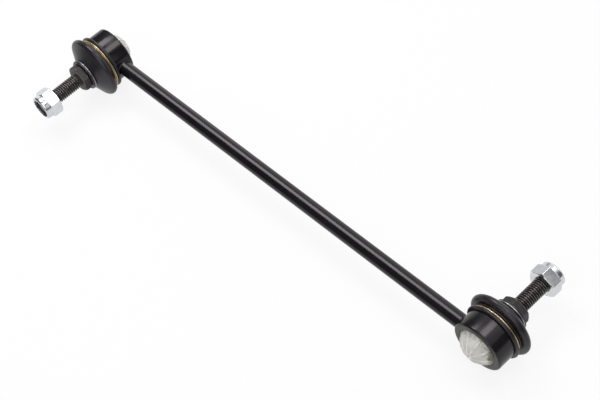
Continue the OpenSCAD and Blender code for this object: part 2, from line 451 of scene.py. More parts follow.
def hex_end(flat, turned_r, z, direction):
    """Entries for one end of a hex whose corners are turned down, from the face out to the flats."""
    slope = math.tan(HEX_CHAMFER)

    def face(angle):
        return min(turned_r, hex_radius(angle, flat)) - HEX_SOFT, z

    def rim(angle):
        radius = min(turned_r, hex_radius(angle, flat)) - HEX_SOFT * HEX_RIM_IN
        return radius, z + direction * HEX_SOFT * HEX_RIM_RISE

    def side(angle):
        radius = hex_radius(angle, flat)
        return radius, z + direction * (max(radius - turned_r, 0) * slope + HEX_SOFT)

    def flat_part(angle):
        radius, height = side(angle)
        return radius, height + direction * HEX_EDGE_BAND

    return [face, rim, side, flat_part]


# Nodes

def feed(tree, socket, value):
    """Links an output to a socket, or sets the socket's own value."""
    if isinstance(value, bpy.types.NodeSocket):
        tree.links.new(value, socket)
    else:
        socket.default_value = value


def put(tree, kind, inputs=None, **settings):
    """Adds a node, sets its properties and feeds its inputs by name."""
    node = tree.nodes.new(kind)
    for key, value in settings.items():
        setattr(node, key, value)
    for key, value in (inputs or {}).items():
        feed(tree, node.inputs[key], value)
    return node


def sum_up(tree, operation, *values):
    """Output of a math node."""
    node = tree.nodes.new("ShaderNodeMath")
    node.operation = operation
    for socket, value in zip(node.inputs, values):
        feed(tree, socket, value)
    return node.outputs[0]


def fade(tree, value, ends, top=1.0):
    """Output that rises smoothly from 0 to the top while a value goes from one end to the other."""
    return put(tree, "ShaderNodeMapRange", {
        "Value": value, "From Min": ends[0], "From Max": ends[1], "To Max": top,
    }, interpolation_type="SMOOTHSTEP").outputs[0]


def split(tree, vector):
    """The three parts of a vector."""
    return put(tree, "ShaderNodeSeparateXYZ", {"Vector": vector}).outputs


# Geometry node trees

def growing_tree(name, sizes):
    """An empty geometry node tree with named sizes and a finish."""
    tree = bpy.data.node_groups.new(name, "GeometryNodeTree")
    for label in sizes:
        tree.interface.new_socket(label, in_out="INPUT", socket_type="NodeSocketFloat")
    tree.interface.new_socket("Finish", in_out="INPUT", socket_type="NodeSocketMaterial")
    tree.interface.new_socket("Geometry", in_out="OUTPUT", socket_type="NodeSocketGeometry")
    return tree, tree.nodes.new("NodeGroupInput").outputs


def close_tree(tree, sizes, geometry):
    """Ends a tree in real geometry with its finish set."""
    real = put(tree, "GeometryNodeRealizeInstances", {"Geometry": geometry})
    painted = put(tree, "GeometryNodeSetMaterial", {
        "Geometry": real.outputs[0], "Material": sizes["Finish"],
    })
    out = tree.nodes.new("NodeGroupOutput")
    tree.links.new(painted.outputs[0], out.inputs[0])
    return tree


def moved(tree, geometry, x, y, z):
    """Geometry with its points set to a new place."""
    place = put(tree, "ShaderNodeCombineXYZ", {"X": x, "Y": y, "Z": z})
    return put(tree, "GeometryNodeSetPosition", {
        "Geometry": geometry, "Position": place.outputs[0],
    }).outputs[0]


def screw_thread_tree():
    """A helical thread as a rolled sheet: the rows follow the helix, and both ends run out to the root."""
    tree, size = growing_tree(
        "screw thread", ("Crest Radius", "Root Radius", "Pitch", "Start", "End", "Lead")
    )
    length = sum_up(tree, "SUBTRACT", size["End"], size["Start"])
    whole = sum_up(tree, "CEIL", sum_up(tree, "DIVIDE", length, size["Pitch"]))
    count = sum_up(tree, "ADD", whole, 1.0)
    rows = sum_up(tree, "MULTIPLY_ADD", count, float(THREAD_ROWS), 1.0)
    sheet = put(tree, "GeometryNodeMeshGrid", {
        "Size X": 1.0, "Size Y": 1.0, "Vertices X": THREAD_STEPS + 1, "Vertices Y": rows,
    })
    spot = split(tree, put(tree, "GeometryNodeInputPosition").outputs[0])
    around = sum_up(tree, "ADD", spot["X"], 0.5)
    along = sum_up(tree, "MULTIPLY", sum_up(tree, "ADD", spot["Y"], 0.5), count)
    rise = sum_up(tree, "SUBTRACT", sum_up(tree, "ADD", along, around), 1.0)
    height = sum_up(tree, "MULTIPLY_ADD", rise, size["Pitch"], size["Start"])
    height = sum_up(tree, "MAXIMUM", sum_up(tree, "MINIMUM", height, size["End"]), size["Start"])
    tooth = put(tree, "ShaderNodeMapRange", {
        "Value": sum_up(tree, "PINGPONG", along, 0.5),
        "From Min": CREST_SHARE, "From Max": ROOT_SHARE, "To Min": 1.0, "To Max": 0.0,
    })
    from_start = sum_up(tree, "DIVIDE", sum_up(tree, "SUBTRACT", height, size["Start"]), size["Lead"])
    from_end = sum_up(tree, "DIVIDE", sum_up(tree, "SUBTRACT", size["End"], height), size["Lead"])
    tooth = sum_up(tree, "MINIMUM", tooth.outputs[0], sum_up(tree, "MINIMUM", from_start, from_end))
    depth = sum_up(tree, "SUBTRACT", size["Crest Radius"], size["Root Radius"])
    radius = sum_up(tree, "MULTIPLY_ADD", tooth, depth, size["Root Radius"])
    angle = sum_up(tree, "MULTIPLY", around, FULL_TURN)
    x = sum_up(tree, "MULTIPLY", radius, sum_up(tree, "COSINE", angle))
    y = sum_up(tree, "MULTIPLY", radius, sum_up(tree, "SINE", angle))
    rolled = moved(tree, sheet.outputs["Mesh"], x, y, height)
    welded = put(tree, "GeometryNodeMergeByDistance", {"Geometry": rolled, "Distance": THREAD_WELD})
    return close_tree(tree, size, welded.outputs[0])


def spring_ring_tree():
    """A wire ring of one or two flat turns, which steps over itself once, with cut ends."""
    tree, size = growing_tree("spring ring", BOOT_RING)
    coil = put(tree, "GeometryNodeCurveSpiral", {
        "Resolution": RING_STEPS, "Rotations": size["Turns"], "Start Radius": size["Ring Radius"],
        "End Radius": size["Ring Radius"], "Height": 0.0,
    })
    share = put(tree, "GeometryNodeSplineParameter").outputs["Factor"]
    over = fade(tree, sum_up(tree, "MULTIPLY", share, size["Turns"]), STEP_OVER)
    lift = sum_up(tree, "MULTIPLY", sum_up(tree, "SUBTRACT", over, 0.5), size["Step"])
    tight = sum_up(tree, "DIVIDE", sum_up(tree, "MULTIPLY", over, size["Inset"]), size["Ring Radius"])
    shrink = sum_up(tree, "SUBTRACT", 1.0, tight)
    spot = split(tree, put(tree, "GeometryNodeInputPosition").outputs[0])
    x = sum_up(tree, "MULTIPLY", spot["X"], shrink)
    y = sum_up(tree, "MULTIPLY", spot["Y"], shrink)
    stepped = moved(tree, coil.outputs[0], x, y, lift)
    section = put(tree, "GeometryNodeCurvePrimitiveCircle", {
        "Resolution": WIRE_STEPS, "Radius": size["Wire Radius"],
    })
    wire = put(tree, "GeometryNodeCurveToMesh", {
        "Curve": stepped, "Profile Curve": section.outputs[0], "Fill Caps": True,
    })
    return close_tree(tree, size, wire.outputs[0])


def added(name, data):
    """A new object in the scene."""
    thing = bpy.data.objects.new(name, data)
    bpy.context.scene.collection.objects.link(thing)
    return thing


def grown(name, tree, sizes, finish):
    """What a tree makes with its named sizes and a finish set, ready to edit."""
    holder = added(name, bpy.data.meshes.new(name))
    modifier = holder.modifiers.new(name, "NODES")
    modifier.node_group = tree
    values = {**sizes, "Finish": FINISHES[finish]}
    for item in tree.interface.items_tree:
        if item.in_out == "INPUT":
            modifier[item.identifier] = values[item.name]
    ready = holder.evaluated_get(bpy.context.evaluated_depsgraph_get())
    mesh = bpy.data.meshes.new_from_object(ready)
    holder.modifiers.clear()
    bpy.data.objects.remove(holder)
    bm = bmesh.new()
    bm.from_mesh(mesh)
    return bm


# Shader node groups

def effect_group(name, inputs, outputs):
    """An empty shader node group with named number inputs and outputs."""
    group = bpy.data.node_groups.new(name, "ShaderNodeTree")
    for label, value in inputs.items():
        socket = group.interface.new_socket(label, in_out="INPUT", socket_type="NodeSocketFloat")
        socket.default_value = value
    for label in outputs:
        group.interface.new_socket(label, in_out="OUTPUT", socket_type="NodeSocketFloat")
    return group, group.nodes.new("NodeGroupInput").outputs, group.nodes.new("NodeGroupOutput").inputs


def grain_group():
    """Fine grain and larger blotches of a surface."""
    group, given, result = effect_group(
        "surface grain", {"Fine Scale": 3000.0, "Blotch Scale": 120.0}, ("Fine", "Blotch")
    )
    spot = put(group, "ShaderNodeTexCoord").outputs["Object"]
    fine = put(group, "ShaderNodeTexNoise", {"Vector": spot, "Scale": given["Fine Scale"], "Detail": 3.0})
    blotch = put(group, "ShaderNodeTexNoise", {
        "Vector": spot, "Scale": given["Blotch Scale"], "Detail": 4.0, "Roughness": 0.6, "Distortion": 0.4,
    })
    spread = put(group, "ShaderNodeMapRange", {
        "Value": blotch.outputs[0], "From Min": 0.3, "From Max": 0.7,
    })
    feed(group, result["Fine"], fine.outputs[0])
    feed(group, result["Blotch"], spread.outputs[0])
    return group


def wear_and_highlight_group():
    """Where outer edges have rubbed, and on some finishes where they get a painted highlight, broken up by
    noise.
    """
    group, given, result = effect_group("edge wear and highlight", {"Amount": 0.6, "Breakup": 900.0}, ("Mask",))
    spot = put(group, "ShaderNodeTexCoord").outputs["Object"]
    edge = put(group, "ShaderNodeAttribute", attribute_name="edge_wear_and_highlight").outputs["Fac"]
    noise = put(group, "ShaderNodeTexNoise", {"Vector": spot, "Scale": given["Breakup"], "Detail": 3.0})
    patch = put(group, "ShaderNodeMapRange", {
        "Value": noise.outputs[0], "From Min": 0.35, "From Max": 0.65,
    })
    broken = sum_up(group, "MULTIPLY", edge, patch.outputs[0])
    rubbed = sum_up(group, "MULTIPLY", broken, given["Amount"])
    feed(group, result["Mask"], sum_up(group, "MINIMUM", rubbed, 1.0))
    return group


def handling_group():
    """Faint rubbed streaks and marks that handling leaves."""
    group, given, result = effect_group("handling marks", {"Scale": 60.0, "Streak": 8.0}, ("Mask",))
    spot = put(group, "ShaderNodeTexCoord").outputs["Object"]
    stretch = put(group, "ShaderNodeCombineXYZ", {
        "X": given["Scale"], "Y": given["Scale"],
        "Z": sum_up(group, "MULTIPLY", given["Scale"], given["Streak"]),
    })
    drawn = put(group, "ShaderNodeMapping", {"Vector": spot, "Scale": stretch.outputs[0]})
    noise = put(group, "ShaderNodeTexNoise", {"Vector": drawn.outputs[0], "Scale": 1.0, "Detail": 5.0})
    mask = put(group, "ShaderNodeMapRange", {
        "Value": noise.outputs[0], "From Min": 0.5, "From Max": 0.75,
    })
    feed(group, result["Mask"], mask.outputs[0])
    return group


GRAIN = grain_group()
WEAR_AND_HIGHLIGHT = wear_and_highlight_group()
HANDLING = handling_group()


# Finishes

class Finish:
    """A material with its shader, and short ways to add the shared effects."""

    def __init__(self, name, **constants):
        self.material = bpy.data.materials.new(name)
        self.material.use_nodes = True
        self.tree = self.material.node_tree
        self.shader = self.tree.nodes["Principled BSDF"]
        for key, value in constants.items():
            self.shader.inputs[key.replace("_", " ")].default_value = value

    def group(self, tree, **values):
        """Places a shared effect with its own values."""
        node = self.tree.nodes.new("ShaderNodeGroup")
        node.node_tree = tree
        for key, value in values.items():
            node.inputs[key.replace("_", " ")].default_value = value
        return node.outputs

    def mix(self, mask, first, second):
        """Colour that goes from the first to the second where the mask is white."""
        node = put(self.tree, "ShaderNodeMix", data_type="RGBA")
        for socket, value in ((node.inputs[0], mask), (node.inputs[6], first), (node.inputs[7], second)):
            feed(self.tree, socket, value if not isinstance(value, tuple) else (*value, 1.0))
        return node.outputs[2]

    def between(self, mask, low, high):
        """Value that goes from low to high with the mask."""
        node = put(self.tree, "ShaderNodeMapRange", {"Value": mask, "To Min": low, "To Max": high})
        return node.outputs[0]

    def raised(self, mask, amount, value):
        """Value raised by an amount where the mask is white."""
        return sum_up(self.tree, "MULTIPLY_ADD", mask, amount, value)

    def painted(self, name):
        """An attribute of the mesh."""
        return put(self.tree, "ShaderNodeAttribute", attribute_name=name).outputs["Fac"]

    def bump(self, height, depth, strength):
        """Relief of a depth in metres."""
        node = put(self.tree, "ShaderNodeBump", {"Height": height, "Distance": depth, "Strength": strength})
        self.set("Normal", node.outputs[0])

    def set(self, socket, value):
        """Feeds one of the shader's own sockets."""
        feed(self.tree, self.shader.inputs[socket], value)


def black_paint():
    """Baked black paint, half gloss, with a faint orange peel and rubbed edges."""
    coat = Finish("black_paint", Specular_IOR_Level=0.4, Specular_Tint=(1.0, 0.93, 0.97, 1.0))
    grain = coat.group(GRAIN, Fine_Scale=1400.0, Blotch_Scale=70.0)
    wear = coat.group(WEAR_AND_HIGHLIGHT, Amount=0.5, Breakup=700.0)
    marks = coat.group(HANDLING, Scale=40.0, Streak=5.0)
    film = coat.mix(grain["Blotch"], (0.0034, 0.003, 0.0038), (0.0072, 0.0064, 0.008))
    coat.set("Base Color", coat.mix(wear["Mask"], film, (0.06, 0.058, 0.06)))
    gloss = coat.between(grain["Blotch"], 0.15, 0.2)
    coat.set("Roughness", coat.raised(marks["Mask"], PAINT_MARKS, gloss))
    coat.bump(grain["Fine"], 0.000002, 0.4)
    return coat.material


def boot_rubber():
    """Black moulded rubber with a soft sheen and a fine matte grain."""
    rubber = Finish("boot_rubber", Specular_IOR_Level=0.5, Specular_Tint=(1.0, 0.95, 1.0, 1.0))
    grain = rubber.group(GRAIN, Fine_Scale=4200.0, Blotch_Scale=90.0)
    wear = rubber.group(WEAR_AND_HIGHLIGHT, Amount=0.35, Breakup=500.0)
    bloom = rubber.mix(grain["Blotch"], (0.007, 0.0062, 0.0082), (0.015, 0.0134, 0.0168))
    rubber.set("Base Color", rubber.mix(wear["Mask"], bloom, (0.05, 0.05, 0.052)))
    rubber.set("Roughness", rubber.between(grain["Blotch"], 0.27, 0.36))
    rubber.bump(grain["Fine"], 0.000012, 0.5)
    return rubber.material


def natural_acetal():
    """Uncoloured acetal, milky and a little see-through, with a painted highlight that makes its ribs and
    edges near white, and grime with painted shade by the housing.
    """
    shell = Finish("natural_acetal", Subsurface_Weight=0.15, Subsurface_Scale=0.0012,
                   Specular_IOR_Level=0.5, Subsurface_Radius=(1.0, 0.85, 0.75))
    grain = shell.group(GRAIN, Fine_Scale=2200.0, Blotch_Scale=150.0)
    wear = shell.group(WEAR_AND_HIGHLIGHT, Amount=1.0, Breakup=300.0)
    grime = shell.group(GRAIN, Blotch_Scale=420.0)["Blotch"]
    milky = shell.mix(grain["Blotch"], (0.54, 0.525, 0.495), (0.67, 0.655, 0.62))
    # Painted highlight: the edge mark turns the dome's ribs and edges near white
    milky = shell.mix(wear["Mask"], milky, (0.92, 0.91, 0.885))
    # Grime and painted shade: the dome's base by the housing and its gate turn dark grey and olive
    soiled_and_shaded = shell.raised(grime, GRIME_AND_SHADE_SHARE, shell.painted("soiling_and_shade"))
    patchy = put(shell.tree, "ShaderNodeMapRange", {
        "Value": soiled_and_shaded, "From Min": 0.6, "From Max": 1.25,
    }).outputs[0]
    smear_and_shade = shell.mix(grain["Blotch"], (0.07, 0.068, 0.06), (0.20, 0.19, 0.11))
    shell.set("Base Color", shell.mix(patchy, milky, smear_and_shade))
    shell.set("Roughness", shell.between(grain["Blotch"], 0.26, 0.4))
    shell.bump(grain["Blotch"], 0.00006, 0.5)
    return shell.material


def yellow_zinc():
    """Yellow passivated zinc on spring wire, with a faint change of tone along it."""
    plate = Finish("yellow_zinc", Metallic=1.0)
    grain = plate.group(GRAIN, Fine_Scale=2500.0, Blotch_Scale=130.0)
    wear = plate.group(WEAR_AND_HIGHLIGHT, Amount=0.4, Breakup=800.0)
    tone = plate.mix(grain["Blotch"], (0.84, 0.56, 0.26), (0.95, 0.72, 0.42))
    plate.set("Base Color", plate.mix(wear["Mask"], tone, (0.86, 0.78, 0.6)))
    plate.set("Roughness", plate.between(grain["Blotch"], 0.34, 0.42))
    plate.bump(grain["Fine"], 0.000004, 0.4)
    return plate.material


def spring_steel():
    """Bright spring wire with fine drawing marks."""
    wire = Finish("spring_steel", Metallic=1.0)
    grain = wire.group(GRAIN, Fine_Scale=3000.0, Blotch_Scale=160.0)
    marks = wire.group(HANDLING, Scale=300.0, Streak=6.0)
    wire.set("Base Color", wire.mix(grain["Blotch"], (0.30, 0.30, 0.31), (0.44, 0.44, 0.45)))
    wire.set("Roughness", wire.between(marks["Mask"], 0.34, 0.46))
    wire.bump(grain["Fine"], 0.00001, 0.4)
    return wire.material


def dark_phosphate():
    """Forged steel with a dark phosphate coat, rubbed brown-grey on the crests and corners, the pale crests
    partly a painted highlight.
    """
    coat = Finish("dark_phosphate", Metallic=0.15, Specular_IOR_Level=0.45)
    grain = coat.group(GRAIN, Fine_Scale=3600.0, Blotch_Scale=260.0)
    wear = coat.group(WEAR_AND_HIGHLIGHT, Amount=0.85, Breakup=1100.0)
    dark = coat.mix(grain["Blotch"], (0.017, 0.0145, 0.0148), (0.038, 0.0325, 0.033))
    # Rubbed crests, made pale enough to stand in partly as a painted highlight on the thread
    coat.set("Base Color", coat.mix(wear["Mask"], dark, (0.56, 0.49, 0.475)))
    forged = coat.between(grain["Fine"], 0.44, 0.56)
    coat.set("Roughness", coat.raised(coat.painted("rolled"), ROLLED_SMOOTH, forged))
    coat.bump(grain["Fine"], 0.00001, 0.5)
    return coat.material


def bright_zinc():
    """Bright clear zinc plate with faint blue and small marks from the tumbler."""
    plate = Finish("bright_zinc", Metallic=1.0)
    grain = plate.group(GRAIN, Fine_Scale=700.0, Blotch_Scale=160.0)
    wear = plate.group(WEAR_AND_HIGHLIGHT, Amount=0.9, Breakup=250.0)
    marks = plate.group(HANDLING, Scale=220.0, Streak=3.0)
    tone = plate.mix(grain["Blotch"], (0.73, 0.745, 0.79), (0.83, 0.84, 0.865))
    plate.set("Base Color", plate.mix(wear["Mask"], tone, (0.92, 0.92, 0.92)))
    gloss = plate.between(grain["Blotch"], 0.14, 0.2)
    plate.set("Roughness", plate.raised(marks["Mask"], PLATE_MARKS, gloss))
    plate.bump(grain["Fine"], 0.000004, 0.5)
    return plate.material


def dark_nylon():
    """Dark moulded nylon of the locking ring."""
    nylon = Finish("dark_nylon", Specular_IOR_Level=0.4)
    grain = nylon.group(GRAIN, Fine_Scale=3000.0, Blotch_Scale=200.0)
    nylon.set("Base Color", nylon.mix(grain["Blotch"], (0.012, 0.014, 0.02), (0.024, 0.028, 0.038)))
    nylon.set("Roughness", nylon.between(grain["Blotch"], 0.35, 0.48))
    nylon.bump(grain["Fine"], 0.00001, 0.5)
    return nylon.material


def plain_steel():
    """Bare turned steel of the closing ring."""
    steel = Finish("plain_steel", Metallic=1.0)
    grain = steel.group(GRAIN, Fine_Scale=2600.0, Blotch_Scale=140.0)
    marks = steel.group(HANDLING, Scale=200.0, Streak=9.0)
    steel.set("Base Color", steel.mix(grain["Blotch"], (0.34, 0.34, 0.35), (0.5, 0.5, 0.51)))
    steel.set("Roughness", steel.between(marks["Mask"], 0.3, 0.45))
    steel.bump(grain["Fine"], 0.00001, 0.4)
    return steel.material


FINISHES = {
    "black_paint": black_paint(),
    "boot_rubber": boot_rubber(),
    "natural_acetal": natural_acetal(),
    "yellow_zinc": yellow_zinc(),
    "spring_steel": spring_steel(),
    "dark_phosphate": dark_phosphate(),
    "bright_zinc": bright_zinc(),
    "dark_nylon": dark_nylon(),
    "plain_steel": plain_steel(),
}


# Pieces

def rod_mesh():
    """The bar, flared along the saddle where it meets each housing, with its ends inside their walls."""
    middle = PLACES["right"].translation.x / MM
    bm = bmesh.new()
    rings = []
    gaps = [-ROD_BURIED, 0.0]
    gaps += [ROD_FLARE * (1 - math.cos(math.radians(degrees))) for degrees in FLARE_DEGREES]
    for end in (-1, 1):
        order = gaps if end < 0 else gaps[::-1]
        for gap in order:
            inward = min(max(gap, 0) / ROD_FLARE, 1)
            radius = ROD_R + ROD_FLARE * (1 - math.sqrt(max(1 - (1 - inward) ** 2, 0)))
            ring = []
            for angle in turns(ROUND_STEPS):
                y = radius * math.cos(angle)
                z = radius * math.sin(angle)
                saddle = middle - math.sqrt(HOUSING_R ** 2 - z ** 2)
                y = max(min(y, HOUSING_SHOULDER), -HOUSING_SHOULDER)
                ring.append(bm.verts.new((end * (saddle - gap), y, z)))
            rings.append(ring)
    for lower, upper in zip(rings, rings[1:]):
        bridge(bm, lower, upper)
    bm.faces.new(rings[0])
    bm.faces.new(rings[-1])
    return finished("rod", bm)


def housing_mesh():
    """The housing: a turned ring, open at the back, with a lip rolled in over the closing ring."""
    rear = (REAR_CHAMFER_R, HOUSING_REAR)
    shoulder = (HOUSING_R, HOUSING_SHOULDER)
    foot = (HOUSING_NECK_R, HOUSING_SHOULDER)
    top = (HOUSING_NECK_R, HOUSING_TOP)
    lip = (CRIMP_R, HOUSING_TOP)
    edge = (HOUSING_R - HOUSING_EDGE, HOUSING_REAR + HOUSING_EDGE)
    profile = rounded(REAR_MOUTH, rear, (HOUSING_R, HOUSING_REAR), REAR_MOUTH_EDGE)
    profile += arc(edge, HOUSING_EDGE, -90, 0, steps=10)
    profile += rounded((HOUSING_R, 0), shoulder, foot, SHOULDER_EDGE)
    profile += [foot]
    profile += rounded(foot, top, lip, TOP_EDGE)
    profile += rounded(top, lip, (CRIMP_R, CRIMP_Z), CRIMP_EDGE)
    profile += [(CRIMP_R, CRIMP_Z), (SOCKET_R, CRIMP_Z)]
    mouth = math.degrees(math.atan2(REAR_MOUTH[1], REAR_MOUTH[0]))
    profile += arc((0, 0), SOCKET_R, 0, mouth, steps=10)
    return turned("housing", profile)


def seat_mesh():
    """The ball seat: a shell round the ball, with ribs, pockets and a gate mark on its domed back."""
    hub = math.degrees(math.acos(DOME_HUB_R / SEAT_R))
    base = math.degrees(math.asin(-DOME_BASE / SEAT_R))
    gate = math.degrees(math.acos(GATE_R / SEAT_R))
    floor_z = GATE_DEPTH - SEAT_R
    profile = [(0, floor_z), (GATE_R * GATE_FLOOR, floor_z), (GATE_R * GATE_WALL, floor_z + GATE_WALL_RISE)]
    # Rows of the dome in degrees, close together where the pockets slope down from the hub and the base
    profile += arc((0, 0), SEAT_R, -gate, -hub, steps=4)
    profile += arc((0, 0), SEAT_R, -hub + 0.5, -hub + 2, steps=3)
    profile += arc((0, 0), SEAT_R, -hub + 4, -base - 3, steps=20)
    profile += arc((0, 0), SEAT_R, -base - 1.5, -base, steps=3)
    profile += arc((0, 0), SEAT_R, -base + 1, 0, steps=14)
    profile += rounded((SEAT_R, 0), (SEAT_R, SEAT_MOUTH[1]), SEAT_MOUTH, SEAT_EDGE)
    profile += [SEAT_MOUTH]
    cone_foot = math.degrees(math.atan2(SEAT_CONE_FOOT[1], SEAT_CONE_FOOT[0]))
    profile += arc((0, 0), SEAT_BALL_R, cone_foot, SEAT_BALL_DEGREES, steps=30)
    profile += [(0, -SEAT_BALL_R)]
    half = FULL_TURN / DOME_RIBS / 2

    def along_ribs(angle, radius):
        """Moves an angle so that the mesh lines follow each rib's edges and the feet of its slopes."""
        local = (angle + half) % (2 * half) - half
        share = abs(local) / half
        rib = math.asin(min(DOME_RIB_W / 2 / radius, math.sin(RIB_MOST * half)))
        foot = math.asin(min((DOME_RIB_W / 2 + POCKET_SLOPE) / radius, math.sin(FOOT_MOST * half)))
        if share <= RIB_SHARE:
            shifted = rib * share / RIB_SHARE
        elif share <= FOOT_SHARE:
            shifted = rib + (foot - rib) * (share - RIB_SHARE) / (FOOT_SHARE - RIB_SHARE)
        else:
            shifted = foot + (half - foot) * (share - FOOT_SHARE) / (1 - FOOT_SHARE)
        return angle - local + math.copysign(shifted, local), shifted

    def pockets(angle, radius, height):
        """Sinks the dome between its ribs, hub and base."""
        turn, from_middle = along_ribs(angle, radius)
        from_rib = radius * math.sin(from_middle) - DOME_RIB_W / 2
        inside = min(from_rib, radius - DOME_HUB_R, DOME_BASE - height) / POCKET_SLOPE
        if inside <= 0 or math.hypot(radius, height) < SEAT_R - DOME_WITHIN:
            return turn, radius, height
        scale = 1 - min(inside, 1) * DOME_RIB_H / SEAT_R
        return turn, radius * scale, height * scale

    mesh = turned("seat", profile, turns(DOME_STEPS), closed=False, shape=pockets)
    soiling_and_shade = mesh.attributes.new("soiling_and_shade", "FLOAT", "POINT")
    # On the seat the edge mark is a painted highlight, made full on the tops of the ribs
    rubbed = mesh.attributes["edge_wear_and_highlight"]
    for vert, soil_and_shade, seat_highlight in zip(mesh.vertices, soiling_and_shade.data, rubbed.data):
        if vert.co.z < DOME_BASE and vert.co.length > SEAT_R - RIB_TOP_WITHIN:
            seat_highlight.value = max(seat_highlight.value, RIB_HIGHLIGHT)
        # Soiling and painted shade: darker where the dome meets the housing, most towards the bar, and
        # inside the gate
        at_base = min(max((vert.co.z - SOIL_AND_SHADE_Z[0]) / (SOIL_AND_SHADE_Z[1] - SOIL_AND_SHADE_Z[0]), 0), 1)
        along_bar = abs(vert.co.x) / max(vert.co.xy.length, GATE_R)
        in_gate = 1.0 if vert.co.xy.length < GATE_R * GATE_DARKENED else 0
        soil_and_shade.value = max(at_base * (SOIL_AND_SHADE_ROUND + SHADE_AND_SOIL_BY_BAR * along_bar ** 3), in_gate)
    return mesh


def boot_mesh():
    """The dust boot: bead, ring groove, ridge, fold, bulge and neck, hollow as the real one."""
    bead = (BEAD_R - BEAD_CAP, LIP_Z + BEAD_CAP)
    bead_top = (bead[0], LIP_Z + 2 * BEAD_CAP)
    seat_foot = (RING_SEAT_R, bead_top[1])
    seat_top = (RING_SEAT_R, RING_SEAT_TOP)
    groove = (GROOVE_R, RING_SEAT_TOP)
    by_ridge = (GROOVE_R, RIDGE_AT[1])
    ridge_reach = math.degrees(math.acos((GROOVE_R - RIDGE_AT[0]) / RIDGE_R))
    rim = (BULGE_R - RIM_EDGE, FOLD_Z + RIM_EDGE)
    cone = 90 - math.degrees(BOOT_CONE)
    bulge = arc(rim, RIM_EDGE, -90, cone, steps=32)
    neck_foot = (BOOT_NECK_R, BOOT_NECK_Z)
    neck_top = (BOOT_NECK_R, BOOT_LIP_Z)
    lip_low = (BOOT_LIP_R, BOOT_LIP_Z)
    lip_top = (BOOT_LIP_R, BOOT_TOP)
    mouth = (BOOT_BORE_R, BOOT_TOP)
    inner_foot = BOOT_NECK_Z - BOOT_WALL / math.cos(BOOT_CONE)
    profile = [(LIP_R, LIP_Z)]
    profile += arc(bead, BEAD_CAP, -90, 90, steps=20)
    profile += rounded(bead_top, seat_foot, seat_top, RING_SEAT_EDGE)
    profile += [seat_top]
    profile += rounded(seat_top, groove, by_ridge, GROOVE_EDGE)
    profile += arc(RIDGE_AT, RIDGE_R, -ridge_reach, ridge_reach, steps=14)
    profile += rounded(by_ridge, (GROOVE_R, FOLD_Z), (rim[0], FOLD_Z), FOLD_EDGE)
    profile += bulge
    profile += [tuple(Vector(bulge[-1]).lerp(Vector(neck_foot), share)) for share in CONE_ROWS]
    profile += rounded(bulge[-1], neck_foot, neck_top, BOOT_NECK_EDGE)
    profile += [neck_top]
    profile += rounded(neck_top, lip_low, lip_top, BOOT_LIP_UNDER)
    profile += rounded(lip_low, lip_top, mouth, BOOT_LIP_EDGE)
    profile += rounded(lip_top, mouth, (BOOT_BORE_R, BOOT_LIP_Z), BOOT_BORE_EDGE)
    profile += [(BOOT_BORE_R, inner_foot), (BOOT_NECK_R, inner_foot)]
    profile += arc(rim, RIM_EDGE - BOOT_WALL, cone, -90, steps=12)
    profile += [(LIP_R, FOLD_Z + BOOT_WALL), (LIP_R, FOLD_Z), (LIP_R, HOUSING_SHOULDER + LIP_INNER_RISE)]

    def slack(angle, radius, height):
        """Draws the bulge in a little, unevenly around."""
        if height < FOLD_Z + SAG_FROM or radius < BOOT_LIP_R + SAG_FROM:
            return angle, radius, height
        wave = SAG_MEAN
        for share, count, start in SAG_WAVES:
            wave += share * math.sin(count * angle + start)
        return angle, radius - BOOT_SAG * wave, height

    return turned("boot", profile, shape=slack)


def stud_mesh():
    """The forged stud up to its undercut: ball, neck, sealing land and hex collar."""
    meet = math.degrees(math.acos(STUD_NECK_R / BALL_R))
    neck = (STUD_NECK_R, STUD_NECK_Z)
    land_foot = (STUD_NECK_R, LAND_FOOT_Z)
    land = (LAND_R, LAND_Z)
    land_top = (LAND_R, COLLAR_Z[0])
    collar_top = (LAND_R, COLLAR_Z[1])
    undercut = (UNDERCUT_R, COLLAR_Z[1])
    undercut_end = (UNDERCUT_R, UNDERCUT_END)
    profile = [(0, -BALL_R)]
    profile += arc((0, 0), BALL_R, BALL_DEGREES, meet, steps=48)
    profile += rounded(neck, land_foot, land, LAND_FOOT_EDGE)
    profile += rounded(land_foot, land, land_top, LAND_EDGE)
    profile += [land_top]
    profile += hex_end(COLLAR_FLAT, COLLAR_TURNED_R, COLLAR_Z[0], 1)
    profile += hex_end(COLLAR_FLAT, COLLAR_TURNED_R, COLLAR_Z[1], -1)[::-1]
    profile += rounded(collar_top, undercut, undercut_end, UNDERCUT_EDGE)
    profile += [undercut_end, (0, UNDERCUT_END)]
    mesh = turned("stud", profile, hex_angles(), closed=False)
    for rubbed in mesh.attributes["edge_wear_and_highlight"].data:
        rubbed.value *= COLLAR_RUB
    return mesh


def thread_sheet(name, crest, root, ends, lead, finish):
    """A thread with both ends open."""
    bm = grown(name, thread_tree, {
        "Crest Radius": crest, "Root Radius": root, "Pitch": THREAD_PITCH,
        "Start": ends[0], "End": ends[1], "Lead": lead,
    }, finish)
    bmesh.ops.dissolve_degenerate(bm, edges=bm.edges, dist=WELD)
    return bm


def stud_thread_mesh():
    """The rolled thread from the undercut to the tip, with both ends closed."""
    bm = thread_sheet("stud_thread", THREAD_CREST, THREAD_ROOT, THREAD_Z, THREAD_LEAD, "dark_phosphate")
    caps = bmesh.ops.holes_fill(bm, edges=[edge for edge in bm.edges if edge.is_boundary])["faces"]
    bmesh.ops.inset_individual(bm, faces=caps, thickness=THREAD_CAP_INSET)
    mesh = finished("stud_thread", bm)
    rolled = mesh.attributes.new("rolled", "FLOAT", "POINT")
    for smooth in rolled.data:
        smooth.value = 1.0
    return mesh


